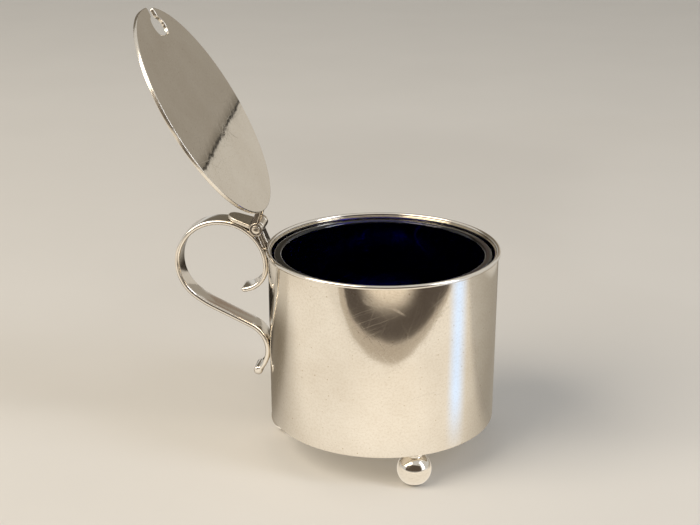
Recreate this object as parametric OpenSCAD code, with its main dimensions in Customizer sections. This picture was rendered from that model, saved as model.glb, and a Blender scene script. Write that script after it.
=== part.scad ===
// Silver mustard pot: a drum on three ball feet, with a strap handle, a hinged flat lid and a glass liner.
// Millimetres. +Z is up, the floor is z = 0, the pot's axis is the Z axis and the handle points to -X.
// The lid stands open, resting with its thumbpiece on the top of the handle.

/* [Body] */
// Outside diameter of the wall at its top edge
pot_top_d = 60; // [54:0.5:70]
// Outside diameter of the wall at its lower edge
pot_base_d = 59.6; // [56:0.1:72]
// Height of the wall, from its lower edge to the seat of the rim wire
wall_h = 45.2; // [40:0.1:60]
// Thickness of the wall's silver sheet
wall_t = 0.9; // [0.6:0.05:1.4]
// Diameter of the rim wire
rim_wire_d = 1.1; // [0.9:0.05:1.6]
// Depth of the flat filed under the rim wire, where it sits on the wall
rim_flat = 0.15; // [0.05:0.05:0.3]
// Thickness of the base plate
base_t = 0.9; // [0.6:0.05:1.5]
// Height of the base plate's underside above the wall's lower edge
base_inset = 0.6; // [0.2:0.1:2]
// Gap filled by solder at each seam
seam = 0.02; // [0.01:0.005:0.04]

/* [Feet] */
// Diameter of a ball foot
foot_d = 8.8; // [6:0.2:11]
// Depth of the flat worn under each ball
foot_flat = 0.15; // [0.05:0.05:0.4]
// Diameter of the peg between a ball and the base plate
foot_peg_d = 4.2; // [3:0.1:5]
// Clear height between a ball and the wall's lower edge
foot_clear = 0.55; // [0.3:0.05:2]
// Distance of a foot's centre in from the wall's lower outside edge
foot_inset = 3.2; // [3.2:0.1:8]
// Turn of the three feet away from the handle's plane, in degrees
feet_turn = -6; // [-20:1:20]

/* [Handle] */
// Width of the strap
strap_w = 6.4; // [4:0.1:7]
// Thickness of the strap, which is also the diameter of its rounded edges
strap_t = 1.3; // [1:0.05:1.8]
// Depth of the handle's upper seat below the top of the rim, on an upright wall
handle_seat_drop = 6.1; // [6:0.1:8]
// Radius of the bend from the upper seat up to the crest
rise_r = 11.8; // [11:0.1:12.2]
// Length of the straight crest
crest_l = 0.4; // [0.2:0.1:3]
// Radius of the outer bend
outer_r = 11.5; // [10:0.1:13]
// Angle turned by the outer bend, in degrees
outer_turn = 143; // [134:1:146]
// Radius of the long sweep back to the wall
sweep_r = 29; // [20:0.5:34]
// Slope of the sweep's end below the horizontal, in degrees
sweep_slope = 26; // [20:1:30]
// Radius of the tail that meets the wall again and turns away from it
tail_r = 7.8; // [7:0.1:10]
// Angle turned by the tail below its seat on the wall, in degrees
tail_turn = 43; // [30:1:48]
// Diameter of the rolled end of the tail
roll_d = 2.4; // [1.9:0.1:2.6]
// Radius of the curl below the upper seat
curl_r = 6.6; // [5:0.1:7.2]
// Angle turned by the curl, in degrees
curl_turn = 85; // [70:1:95]

/* [Hinge] */
// Distance of the hinge axis out from the rim wire
hinge_out = 2.2; // [2:0.05:2.8]
// Height of the hinge axis above the top of the rim
hinge_up = 4.5; // [4.2:0.05:5]
// Outside diameter of the knuckles
knuckle_d = 3.5; // [3:0.05:3.6]
// Diameter of the hinge pin
pin_d = 2.1; // [1.6:0.05:2.3]
// Radial clearance of the lid knuckles on the pin
pin_run = 0.04; // [0.02:0.01:0.08]
// Length of the pin standing out of each end knuckle
pin_proud = 0.15; // [0.05:0.05:0.4]
// Chamfer of the pin's ends
pin_chamfer = 0.1; // [0.05:0.05:0.2]
// Width of the fixed centre knuckle
centre_knuckle_w = 4.4; // [4:0.1:6]
// Width of each lid knuckle
lid_knuckle_w = 1.9; // [1.6:0.1:3]
// Running gap between neighbouring knuckles
knuckle_gap = 0.12; // [0.08:0.01:0.2]
// Thickness of the fixed hinge plate
plate_t = 0.8; // [0.6:0.05:1]
// Setback of the hinge plate's sides from the ends of the hinge
plate_shoulder = 0.8; // [0.6:0.1:2]
// Offset of the hinge plate's foot out from the rim wire
plate_foot_out = 0.05; // [0:0.05:0.1]
// Depth of the hinge plate's foot below the top of the rim
plate_foot_drop = 0.8; // [0.6:0.05:1]

/* [Lid] */
// Thickness of the lid
lid_t = 1; // [0.8:0.05:1.3]
// Distance of the lid's edge in from the middle of the rim wire
lid_edge_in = 0.4; // [0.3:0.05:0.45]
// Rounding of the lid's edges
lid_edge_r = 0.2; // [0.1:0.05:0.25]
// Gap between the closed lid and the rim wire that it lies on
lid_seat = 0.05; // [0.03:0.01:0.1]
// Angle between the open and the closed lid, in degrees
lid_open = 121; // [105:1:125]
// Length of the spoon hole in the lid, in line with its slot
spoon_hole_l = 5.2; // [4:0.1:6]
// Width of the spoon hole across its slot
spoon_hole_w = 9.4; // [7:0.1:11]
// Width of the slot that joins the spoon hole to the lid's edge
spoon_slot_w = 4.2; // [3:0.1:5]
// Length of that slot
spoon_slot_l = 2.8; // [1:0.1:4]
// Turn of the spoon hole away from the place opposite the hinge, in degrees
spoon_turn = 9; // [0:1:20]
// Length of the lid bracket's foot on the lid
bracket_foot_l = 4; // [3:0.1:6]
// Thickness of the lid bracket's foot at its inner end
bracket_tip_t = 0.6; // [0.4:0.05:0.8]
// Thickness of the lid bracket where its legs start
bracket_t = 1; // [0.8:0.05:1.4]
// Distance of the bracket's legs in from the lid's edge
bracket_heel = 1.1; // [0.8:0.1:2]
// Setback of the bracket's foot from the lid's edge
bracket_setback = 0.3; // [0.2:0.05:0.6]
// Length of the thumbpiece from the hinge axis to its tip
thumb_l = 8.4; // [7.5:0.1:11]
// Radius of the thumbpiece's round end
thumb_tip_r = 3.2; // [2.4:0.1:3.8]
// Thickness of the thumbpiece
thumb_t = 1; // [0.8:0.05:1.3]
// Gap between the thumbpiece and the handle when the lid is open
stop_gap = 0.1; // [0.05:0.01:0.2]

/* [Liner] */
// Gap between the glass liner and the inside of the wall
liner_gap = 0.4; // [0.3:0.05:1]
// Thickness of the glass wall
liner_t = 2.2; // [1.6:0.1:3]
// Thickness of the glass bottom
liner_base_t = 3; // [2:0.1:5]
// Depth of the glass rim below the top of the rim wire
liner_drop = 1.3; // [0.5:0.1:3]
// Gap between the glass and the base plate
liner_seat = 0.1; // [0.05:0.01:0.2]
// Rounding of the glass rim
liner_lip_r = 0.7; // [0.3:0.05:0.75]
// Rounding of the liner's bottom edge, outside
liner_heel_r = 2.5; // [1:0.1:4]
// Rounding of the liner's bottom, inside
liner_bowl_r = 4; // [2:0.1:8]

/* [Hidden] */
$fn = 96;

SILVER = "silver";
BRIGHT_SILVER = "gainsboro";
COBALT = "midnightblue";

// Margin by which a cutting tool runs past what it cuts
cut = 1;
// Length of one step along the strap, and steps round each of its edges and round its rolled end
strap_step = 1.2;
edge_steps = 8;
roll_steps = 9;

// Levels and radii of the body
pot_top_r = pot_top_d / 2;
pot_base_r = pot_base_d / 2;
wall_z = foot_d - foot_flat + foot_clear;
wall_top = wall_z + wall_h;
rim_r = pot_top_r + rim_wire_d / 2;
rim_top = wall_top + rim_wire_d - rim_flat;
base_z = wall_z + base_inset;
base_top = base_z + base_t;
wall_lean = atan2(pot_base_r - pot_top_r, wall_h);
foot_r = pot_base_r - foot_inset;

// Outside radius of the wall at a height
function wall_r(z) = pot_base_r + (pot_top_r - pot_base_r) * (z - wall_z) / wall_h;

// The hinge: its axis lies along Y, on the handle's side of the rim
hinge_x = rim_r + hinge_out;
hinge_z = rim_top + hinge_up;
knuckle_r = knuckle_d / 2;
lid_knuckle_y = centre_knuckle_w / 2 + knuckle_gap;
hinge_w = 2 * (lid_knuckle_y + lid_knuckle_w);

// The lid, as it lies when it is closed, with its rounded edge on the inner shoulder of the rim wire
lid_r = pot_top_r - lid_edge_in;
wire_z = rim_top - rim_wire_d / 2;
lid_rest = sqrt(pow(rim_wire_d / 2 + lid_edge_r + lid_seat, 2) - pow(lid_edge_in + lid_edge_r, 2));
lid_z = wire_z + lid_rest - lid_edge_r;
lid_edge_u = hinge_x - lid_r;
lid_top_v = lid_z + lid_t - hinge_z;
spoon_hole_x = lid_r - spoon_slot_l - spoon_hole_l / 2;

// Where the bracket's legs meet the lid knuckles, as angles round the hinge axis
leg_top_angle = 162;
leg_low_angle = 222;

// The handle follows the wall's lean: across is square to the wall, along runs up the wall
strap_offset = seam + strap_t / 2;
rise_across = strap_offset + rise_r;

// The hinge axis, seen across and along the wall from its top edge
hinge_from_wall = [hinge_x - pot_top_r, hinge_z - wall_top];
hinge_across = hinge_from_wall * [cos(wall_lean), sin(wall_lean)];
hinge_along = hinge_from_wall * [-sin(wall_lean), cos(wall_lean)];

// Whatever the lean, the centre of the rising bend is as far from the hinge axis as on an upright wall
stop_reach = norm([rise_across - hinge_x + pot_top_r, handle_seat_drop + hinge_up]);
seat_along = hinge_along - sqrt(pow(stop_reach, 2) - pow(rise_across - hinge_across, 2));
seat_r = pot_top_r - seat_along * sin(wall_lean);
seat_z = wall_top + seat_along * cos(wall_lean);

// The strap's turns that follow from the others
sweep_turn = 180 - sweep_slope - outer_turn;
tail_rise = 90 - sweep_slope;

// Distance across gained by a bend of unit radius that starts at a heading and turns by an angle
function across(heading, turn) = sign(turn) * (sin(heading + turn) - sin(heading));

// The straight before the tail takes up what is left, so that the tail meets the wall again
bends_across = rise_r + crest_l + outer_r * across(0, -outer_turn)
    + sweep_r * across(-outer_turn, -sweep_turn) + tail_r * across(sweep_slope - 180, tail_rise);
link_l = bends_across / cos(sweep_slope);

// A place on the strap is [across, along, heading]; this gives the place at the end of one part,
// where a part is [radius, turn], or [length, 0] if it is straight
function part_end(p, s) = s[1] == 0
    ? [p[0] + s[0] * cos(p[2]), p[1] + s[0] * sin(p[2]), p[2]]
    : [p[0] + s[0] * across(p[2], s[1]), p[1] - sign(s[1]) * s[0] * (cos(p[2] + s[1]) - cos(p[2])), p[2] + s[1]];

// The strap's parts in order, from the tip of the curl to the end of the tail
curl_tip = part_end([strap_offset, 0, -90], [curl_r, curl_turn]);
strap_start = [curl_tip[0], curl_tip[1], curl_tip[2] + 180];
strap_parts = [[curl_r, -curl_turn], [rise_r, -90], [crest_l, 0], [outer_r, -outer_turn],
    [sweep_r, -sweep_turn], [link_l, 0], [tail_r, tail_rise + tail_turn]];

// Places along one part, about strap_step apart, after its start
function part_l(s) = s[1] == 0 ? s[0] : s[0] * abs(s[1]) * PI / 180;
function part_places(p, s) =
    let (steps = ceil(part_l(s) / strap_step))
    [for (i = [1:steps]) part_end(p, s[1] == 0 ? [s[0] * i / steps, 0] : [s[0], s[1] * i / steps])];

// Places along the whole strap
function places(p, i = 0) =
    i == len(strap_parts) ? []
    : concat(part_places(p, strap_parts[i]), places(part_end(p, strap_parts[i]), i + 1));
strap_places = concat([strap_start], places(strap_start));
tail_end = strap_places[len(strap_places) - 1];

// The rolled end: beyond the tail the half thickness follows a circle, which closes near its far side
roll_start = 180 - asin(strap_t / roll_d);
roll_end = 12;
roll_rings = [for (i = [1:roll_steps])
    let (angle = roll_start + (roll_end - roll_start) * i / roll_steps)
    let (past = roll_d / 2 * (cos(angle) - cos(roll_start)))
    concat(part_end(tail_end, [past, 0]), roll_d / 2 * sin(angle))];

// Rings of the strap, as [across, along, heading, half thickness]
strap_rings = concat([for (p = strap_places) concat(p, strap_t / 2)], roll_rings);

// Section of the strap, as [share of the half thickness, sideways]: flat faces with rounded edges
strap_section = [for (side = [-1, 1]) for (i = [0:edge_steps])
    let (angle = 180 * i / edge_steps - 90)
    [side * sin(angle), side * ((strap_w - strap_t) / 2 + strap_t / 2 * cos(angle))]];

// Angle of the open thumbpiece above the horizontal, where it meets the handle's rising bend
rise_centre_x = seat_r + rise_across * cos(wall_lean);
rise_centre_z = seat_z + rise_across * sin(wall_lean);
stop_height = rise_r + strap_t / 2 + stop_gap + thumb_t / 2;
stop_angle = atan2(rise_centre_z - hinge_z, rise_centre_x - hinge_x) + asin(stop_height / stop_reach);

// Taper of the thumbpiece, so that its sides run from the hinge's full width to its round end
thumb_tip_x = thumb_l - thumb_tip_r;
thumb_half_w = hinge_w / 2;
thumb_taper = acos(thumb_tip_r / norm([thumb_half_w, thumb_tip_x])) - atan2(thumb_tip_x, thumb_half_w);

// The liner
liner_r = min(pot_top_r, pot_base_r) - wall_t - liner_gap;
liner_bore_r = liner_r - liner_t;
liner_z = base_top + liner_seat;
liner_h = rim_top - liner_drop - liner_z;

// Turns a piece from +X, where it is drawn, to the handle's side
module handle_side() {
    rotate([0, 0, 180]) children();
}

// Swings a piece of the closed lid open about the hinge axis
module swung_open() {
    translate([hinge_x, 0, hinge_z]) rotate([0, lid_open, 0]) translate([-hinge_x, 0, -hinge_z]) children();
}

// Extrudes an outline, drawn as across and up, to a width along Y
module across_width(width) {
    rotate([90, 0, 0]) linear_extrude(width, center = true) children();
}

// A cylinder on the hinge axis, between two places along Y
module hinge_rod(radius, y_from, y_to) {
    translate([hinge_x, y_to, hinge_z]) rotate([90, 0, 0]) cylinder(r = radius, h = y_to - y_from);
}

// A rectangle from a low to a high corner, with its corners rounded
module rounded_rect(low, high, radius) {
    size = high - low;
    translate(low + [radius, 0]) square([size[0] - 2 * radius, size[1]]);
    translate(low + [0, radius]) square([size[0], size[1] - 2 * radius]);
    for (x = [low[0] + radius, high[0] - radius])
        for (y = [low[1] + radius, high[1] - radius])
            translate([x, y]) circle(radius);
}

// A disc standing on z = 0, with rounded edges
module rounded_disc(radius, height, edge) {
    rotate_extrude() {
        square([radius - edge, height]);
        translate([0, edge]) square([radius, height - 2 * edge]);
        for (y = [edge, height - edge]) translate([radius - edge, y]) circle(edge);
    }
}

// A length of tube on the hinge axis
module knuckle(bore_r, y_from, y_to) {
    difference() {
        hinge_rod(knuckle_r, y_from, y_to);
        hinge_rod(bore_r, y_from - cut, y_to + cut);
    }
}

// The strap: its section carried along its rings
module strap() {
    count = len(strap_section);
    last = len(strap_rings) - 1;
    points = [for (p = strap_rings) for (q = strap_section)
        [p[0] - q[0] * p[3] * sin(p[2]), q[1], p[1] + q[0] * p[3] * cos(p[2])]];
    sides = [for (i = [0:last - 1]) for (j = [0:count - 1])
        let (a = i * count + j, b = i * count + (j + 1) % count)
        each [[a, b, b + count], [a, b + count, a + count]]];
    ends = [[for (j = [count - 1:-1:0]) j], [for (j = [0:count - 1]) last * count + j]];
    polyhedron(points, concat(sides, ends));
}

// Disc let into the lower end of the wall
module base_plate() {
    color(SILVER)
        translate([0, 0, base_z])
            cylinder(r1 = wall_r(base_z) - wall_t - seam, r2 = wall_r(base_top) - wall_t - seam, h = base_t);
}

// Drum of sheet silver, a little narrower at its foot
module body_wall() {
    color(SILVER)
        rotate_extrude()
            polygon([[pot_base_r - wall_t, wall_z], [pot_base_r, wall_z], [pot_top_r, wall_top],
                [pot_top_r - wall_t, wall_top]]);
}

// Wire round the top edge, filed flat where it sits on the wall
module rim_wire() {
    color(BRIGHT_SILVER)
        rotate_extrude()
            intersection() {
                translate([pot_top_r, wall_top + rim_wire_d / 2 - rim_flat]) circle(d = rim_wire_d);
                translate([pot_top_r - rim_wire_d, wall_top + seam]) square(2 * rim_wire_d);
            }
}

// Cast ball with its peg, worn flat where it stands
module ball_foot(angle) {
    color(BRIGHT_SILVER)
        rotate([0, 0, angle]) translate([foot_r, 0, 0])
            difference() {
                translate([0, 0, foot_d / 2 - foot_flat]) {
                    sphere(d = foot_d);
                    cylinder(d = foot_peg_d, h = base_z - seam - foot_d / 2 + foot_flat);
                }
                translate([-foot_d, -foot_d, -foot_d]) cube([2 * foot_d, 2 * foot_d, foot_d]);
            }
}

module foot_handle_side() {
    ball_foot(180 + feet_turn);
}

module foot_front() {
    ball_foot(-60 + feet_turn);
}

module foot_back() {
    ball_foot(60 + feet_turn);
}

// Strap bent to an S: curl, upper seat, crest, outer bend, sweep, lower seat, tail and rolled end
module handle() {
    color(BRIGHT_SILVER)
        handle_side() translate([seat_r, 0, seat_z]) rotate([0, -wall_lean, 0]) strap();
}

// Fixed leaf: rises outward from its seat on the rim wire to the centre knuckle, clear of the lid knuckles
module hinge_plate() {
    foot_x = rim_r + plate_foot_out;
    foot_z = rim_top - plate_foot_drop;
    half_w = plate_t / sin(atan2(hinge_z - foot_z, hinge_x - foot_x)) / 2;
    color(SILVER)
        handle_side() difference() {
            across_width(hinge_w - 2 * plate_shoulder)
                polygon([[foot_x - half_w, foot_z], [foot_x + half_w, foot_z], [hinge_x + half_w, hinge_z],
                    [hinge_x - half_w, hinge_z]]);
            hinge_rod(knuckle_r + seam, -hinge_w, hinge_w);
            hinge_rod(knuckle_r + knuckle_gap, centre_knuckle_w / 2, hinge_w);
            hinge_rod(knuckle_r + knuckle_gap, -hinge_w, -centre_knuckle_w / 2);
            cylinder(r = rim_r + seam, h = rim_top + cut);
        }
}

module centre_knuckle() {
    color(BRIGHT_SILVER)
        handle_side() knuckle(pin_d / 2 + seam, -centre_knuckle_w / 2, centre_knuckle_w / 2);
}

// Pin held in the centre knuckle, on which the lid knuckles turn
module hinge_pin() {
    pin_l = hinge_w + 2 * pin_proud;
    color(SILVER)
        handle_side() translate([hinge_x, pin_l / 2, hinge_z]) rotate([90, 0, 0]) {
            cylinder(d1 = pin_d - 2 * pin_chamfer, d2 = pin_d, h = pin_chamfer);
            translate([0, 0, pin_chamfer]) cylinder(d = pin_d, h = pin_l - 2 * pin_chamfer);
            translate([0, 0, pin_l - pin_chamfer])
                cylinder(d1 = pin_d, d2 = pin_d - 2 * pin_chamfer, h = pin_chamfer);
        }
}

module lid_knuckle_front() {
    color(BRIGHT_SILVER)
        handle_side() knuckle(pin_d / 2 + pin_run, lid_knuckle_y, lid_knuckle_y + lid_knuckle_w);
}

module lid_knuckle_back() {
    color(BRIGHT_SILVER)
        handle_side() knuckle(pin_d / 2 + pin_run, -lid_knuckle_y - lid_knuckle_w, -lid_knuckle_y);
}

// Leaf of the lid: a foot on the lid's upper face, and two legs that pass the centre knuckle
module lid_bracket() {
    notch_r = norm([lid_edge_u, lid_top_v]);
    foot_v = lid_top_v + seam;
    heel = [-lid_edge_u - bracket_setback, foot_v];
    toe = [-lid_edge_u - bracket_foot_l, foot_v];
    knee = [-lid_edge_u - bracket_heel, foot_v + bracket_t];
    knuckle_top = knuckle_r * [cos(leg_top_angle), sin(leg_top_angle)];
    knuckle_low = knuckle_r * [cos(leg_low_angle), sin(leg_low_angle)];
    color(SILVER)
        handle_side() swung_open() difference() {
            translate([hinge_x, 0, hinge_z])
                across_width(hinge_w)
                    polygon([heel, toe, toe + [0, bracket_tip_t], knee, knuckle_top, [0, 0], knuckle_low]);
            hinge_rod(knuckle_r + seam, -hinge_w, hinge_w);
            hinge_rod(notch_r, -lid_knuckle_y, lid_knuckle_y);
        }
}

// Keyhole seen from above: a wide hole with round ends, and the slot that opens it to the lid's edge
module spoon_notch() {
    end_y = (spoon_hole_w - spoon_hole_l) / 2;
    translate([-spoon_hole_l / 2, -end_y]) square([spoon_hole_l, 2 * end_y]);
    translate([0, end_y]) circle(d = spoon_hole_l);
    translate([0, -end_y]) circle(d = spoon_hole_l);
    slot_out = lid_r + cut - spoon_hole_x;
    translate([-slot_out, -spoon_slot_w / 2]) square([slot_out, spoon_slot_w]);
}

// Flat disc that lies in the rim, with a keyhole notch for the spoon away from the hinge
module lid() {
    color(BRIGHT_SILVER)
        handle_side() swung_open() translate([0, 0, lid_z])
            difference() {
                rounded_disc(lid_r, lid_t, lid_edge_r);
                rotate([0, 0, spoon_turn]) translate([-spoon_hole_x, 0, -cut])
                    linear_extrude(lid_t + 2 * cut) spoon_notch();
            }
}

// Round-ended plate on the lid knuckles, drawn where it rests on the handle
module thumbpiece() {
    side_x = thumb_tip_x + thumb_tip_r * sin(thumb_taper);
    side_y = thumb_tip_r * cos(thumb_taper);
    color(BRIGHT_SILVER)
        handle_side() difference() {
            translate([hinge_x, 0, hinge_z]) rotate([0, -stop_angle, 0])
                translate([0, 0, -thumb_t / 2]) linear_extrude(thumb_t) {
                    polygon([[0, -thumb_half_w], [side_x, -side_y], [side_x, side_y], [0, thumb_half_w]]);
                    translate([thumb_tip_x, 0]) circle(thumb_tip_r);
                }
            hinge_rod(knuckle_r + seam, -hinge_w, hinge_w);
            hinge_rod(knuckle_r + knuckle_gap, -lid_knuckle_y, lid_knuckle_y);
        }
}

// Cup of blue glass that stands on the base plate and lifts out
module glass_liner() {
    color(COBALT)
        translate([0, 0, liner_z]) rotate_extrude()
            difference() {
                union() {
                    square([liner_r - liner_heel_r, liner_heel_r]);
                    translate([liner_r - liner_heel_r, liner_heel_r]) circle(liner_heel_r);
                    translate([0, liner_heel_r]) square([liner_r, liner_h / 2]);
                    rounded_rect([liner_bore_r, liner_h / 2], [liner_r, liner_h], liner_lip_r);
                }
                translate([0, liner_base_t]) square([liner_bore_r - liner_bowl_r, liner_h]);
                translate([0, liner_base_t + liner_bowl_r]) square([liner_bore_r, liner_h]);
                translate([liner_bore_r - liner_bowl_r, liner_base_t + liner_bowl_r]) circle(liner_bowl_r);
            }
}

base_plate();
body_wall();
rim_wire();
foot_handle_side();
foot_front();
foot_back();
handle();
hinge_plate();
centre_knuckle();
hinge_pin();
lid_knuckle_front();
lid_knuckle_back();
lid_bracket();
lid();
thumbpiece();
glass_liner();
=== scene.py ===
import math

import bmesh
import bpy
import numpy as np
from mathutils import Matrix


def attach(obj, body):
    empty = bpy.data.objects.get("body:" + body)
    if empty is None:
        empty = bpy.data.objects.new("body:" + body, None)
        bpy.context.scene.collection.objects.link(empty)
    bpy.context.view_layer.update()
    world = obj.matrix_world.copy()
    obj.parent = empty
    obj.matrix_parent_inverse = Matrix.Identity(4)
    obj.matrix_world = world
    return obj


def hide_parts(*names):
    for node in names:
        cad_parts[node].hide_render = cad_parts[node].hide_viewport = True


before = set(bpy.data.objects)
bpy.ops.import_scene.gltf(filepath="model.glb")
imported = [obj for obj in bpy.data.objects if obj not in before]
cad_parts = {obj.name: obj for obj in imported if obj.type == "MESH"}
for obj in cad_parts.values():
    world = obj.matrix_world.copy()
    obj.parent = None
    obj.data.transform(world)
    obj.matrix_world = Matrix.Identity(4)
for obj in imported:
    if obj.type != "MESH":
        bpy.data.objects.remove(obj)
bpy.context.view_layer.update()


# Base plate: a disc of sheet silver let into the lower end of the wall and soldered round its edge.
# It carries the three feet below and the glass liner above.
MM = 0.001
WALL_FOOT_Z = 9.2 * MM
BASE_RADIUS = 28.87 * MM
BASE_INSET = 0.6 * MM
BASE_Z = WALL_FOOT_Z + BASE_INSET
BASE_THICKNESS = 0.9 * MM
BASE_EDGE = 0.15 * MM

# Marks of use on the silver. A hairline is given by its angle in degrees, its length and its width; on the
# real sheet it is 0.03 mm wide, and it is drawn wider so that it shows.
BLOOM_SIZE = 14 * MM
HAIRLINES = ((38, 30 * MM, 0.20 * MM), (84, 18 * MM, 0.22 * MM), (-55, 22 * MM, 0.25 * MM))
HAIRLINE_BEND, HAIRLINE_BEND_SIZE = 14 * MM, 25 * MM
SCRATCH_SIZE, SCRATCH_BREAK_SIZE = 35 * MM, 12 * MM
SCRATCH_CONTOURS = 14.0
PIT_SPACING = 4 * MM
FLECK_SIZE = 0.6 * MM
SWELL_SIZE, SWELL_HEIGHT = 9 * MM, 0.016 * MM
SCORE_DEPTH = 0.001 * MM
CORNER_REACH = 1.2 * MM
BLOOM_STAIN, FLECK_STAIN, PIT_STAIN = 0.20, 0.22, 0.60
HAIRLINE_DULL, SCRATCH_DULL, STAIN_DULL, EDGE_DULL = 0.05, 0.15, 0.06, 0.16
MERGE_REACH, SHORTEST_EDGE = 1e-7, 1e-8


def linear(hex_colour):
    """sRGB hex to linear: each channel is put through the inverse of the sRGB curve."""
    channels = np.array([int(hex_colour[i:i + 2], 16) for i in (1, 3, 5)]) / 255
    curve = np.where(channels <= 0.04045, channels / 12.92, ((channels + 0.055) / 1.055) ** 2.4)
    return (*curve.tolist(), 1.0)


def add(tree, kind, inputs=None, **settings):
    """Adds a node, sets its properties, and gives each named input its value or its link."""
    node = tree.nodes.new(kind)
    for name, value in settings.items():
        setattr(node, name, value)
    for name, value in (inputs or {}).items():
        if isinstance(value, bpy.types.NodeSocket):
            tree.links.new(value, node.inputs[name])
        else:
            node.inputs[name].default_value = value
    return node


def silver_finish(name, colour, tarnish, roughness, wear, crevice=0.0):
    """Polished sterling: a warm white metal. The eye sees clear but slightly soft reflections, hairline
    scratches from years of polishing cloths, a few pin-point pits, and a faint yellow-grey bloom. Wear
    scales these marks, and crevice is how much tarnish stays in the corners."""
    material = bpy.data.materials.new(name)
    material.use_nodes = True
    tree = material.node_tree
    shader = tree.nodes["Principled BSDF"]
    uv = add(tree, "ShaderNodeUVMap").outputs["UV"]
    # The bloom lies in broad patches.
    bloom = add(tree, "ShaderNodeTexNoise", {
        "Vector": uv, "Scale": 1 / BLOOM_SIZE, "Detail": 4.0, "Roughness": 0.6})
    # A slow noise bends the hairlines, so that no two run quite the same way.
    bend = add(tree, "ShaderNodeTexNoise", {"Vector": uv, "Scale": 1 / HAIRLINE_BEND_SIZE, "Detail": 0.0})
    bent_uv = add(tree, "ShaderNodeVectorMath", {
        0: bend.outputs["Color"], 1: (HAIRLINE_BEND, HAIRLINE_BEND, 0), 2: uv},
        operation="MULTIPLY_ADD").outputs["Vector"]
    lines = None
    for angle, length, width in HAIRLINES:
        turned_uv = add(tree, "ShaderNodeMapping", {
            "Vector": bent_uv, "Rotation": (0, 0, math.radians(angle)), "Scale": (length, width, 1)},
            vector_type="TEXTURE")
        streak = add(tree, "ShaderNodeTexNoise", {
            "Vector": turned_uv.outputs["Vector"], "Scale": 1.0, "Detail": 1.0}, noise_dimensions="2D")
        line = add(tree, "ShaderNodeMapRange", {
            "Value": streak.outputs["Fac"], "From Min": 0.70, "From Max": 0.82},
            interpolation_type="SMOOTHSTEP").outputs["Result"]
        lines = line if lines is None else add(
            tree, "ShaderNodeMath", {0: lines, 1: line}, operation="MAXIMUM").outputs["Value"]
    # Longer hairlines wander over the piece: contours of a slow noise, broken up by a quicker one.
    slow = add(tree, "ShaderNodeTexNoise", {"Vector": uv, "Scale": 1 / SCRATCH_SIZE, "Detail": 0.0})
    height = add(tree, "ShaderNodeMath", {0: slow.outputs["Fac"], 1: SCRATCH_CONTOURS}, operation="MULTIPLY")
    off_line = add(tree, "ShaderNodeMath", {0: height.outputs["Value"], 1: 0.5}, operation="PINGPONG")
    contour = add(tree, "ShaderNodeMapRange", {
        "Value": off_line.outputs["Value"], "From Min": 0.02, "From Max": 0.05, "To Min": 1.0, "To Max": 0.0},
        interpolation_type="SMOOTHSTEP")
    breaks = add(tree, "ShaderNodeTexNoise", {"Vector": uv, "Scale": 1 / SCRATCH_BREAK_SIZE, "Detail": 1.0})
    kept = add(tree, "ShaderNodeMapRange", {
        "Value": breaks.outputs["Fac"], "From Min": 0.55, "From Max": 0.68},
        interpolation_type="SMOOTHSTEP")
    scratch = add(tree, "ShaderNodeMath", {0: contour.outputs["Result"], 1: kept.outputs["Result"]},
                  operation="MULTIPLY").outputs["Value"]
    # The largest pits are about 0.4 mm across, and many are too small to see.
    pits = add(tree, "ShaderNodeTexVoronoi", {"Vector": uv, "Scale": 1 / PIT_SPACING, "Randomness": 1.0},
               voronoi_dimensions="2D")
    chance = add(tree, "ShaderNodeSeparateXYZ", {"Vector": pits.outputs["Color"]})
    reach = add(tree, "ShaderNodeMath", {
        0: pits.outputs["Distance"], 1: chance.outputs["X"]}, operation="DIVIDE")
    pit = add(tree, "ShaderNodeMapRange", {
        "Value": reach.outputs["Value"], "From Min": 0.02, "From Max": 0.06, "To Min": 1.0, "To Max": 0.0},
        interpolation_type="SMOOTHSTEP").outputs["Result"]
    # Flecks are left by polish. With the bloom and the pits they stain the metal.
    grain = add(tree, "ShaderNodeTexNoise", {
        "Vector": uv, "Scale": 1 / FLECK_SIZE, "Detail": 3.0, "Roughness": 0.7})
    fleck = add(tree, "ShaderNodeMapRange", {
        "Value": grain.outputs["Fac"], "From Min": 0.45, "From Max": 0.75, "To Max": FLECK_STAIN * wear})
    patch = add(tree, "ShaderNodeMapRange", {
        "Value": bloom.outputs["Fac"], "From Min": 0.35, "From Max": 0.75, "To Max": BLOOM_STAIN * wear})
    stain = add(tree, "ShaderNodeMath", {
        0: patch.outputs["Result"], 1: fleck.outputs["Result"]}, operation="ADD")
    stain = add(tree, "ShaderNodeMath", {0: pit, 1: PIT_STAIN * wear, 2: stain.outputs["Value"]},
                operation="MULTIPLY_ADD").outputs["Value"]
    if crevice:
        # Tarnish stays in corners that a cloth can't reach.
        corner = add(tree, "ShaderNodeAmbientOcclusion", {"Distance": CORNER_REACH}, samples=8)
        dark = add(tree, "ShaderNodeMapRange", {
            "Value": corner.outputs["AO"], "From Min": 0.2, "From Max": 0.8,
            "To Min": crevice, "To Max": 0.0})
        stain = add(tree, "ShaderNodeMath", {0: stain, 1: dark.outputs["Result"]},
                    operation="ADD", use_clamp=True).outputs["Value"]
    tint = add(tree, "ShaderNodeMix", {0: stain, 6: linear(colour), 7: linear(tarnish)}, data_type="RGBA")
    tree.links.new(tint.outputs[2], shader.inputs["Base Color"])
    # Each mark dulls the polish, and so does a filed edge where the piece has one.
    filed = add(tree, "ShaderNodeAttribute", attribute_name="filed_edge").outputs["Fac"]
    dull = roughness
    for mark, amount in ((lines, HAIRLINE_DULL * wear), (scratch, SCRATCH_DULL * wear),
                         (stain, STAIN_DULL), (filed, EDGE_DULL)):
        dull = add(tree, "ShaderNodeMath", {0: mark, 1: amount, 2: dull},
                   operation="MULTIPLY_ADD").outputs["Value"]
    tree.links.new(dull, shader.inputs["Roughness"])
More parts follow.
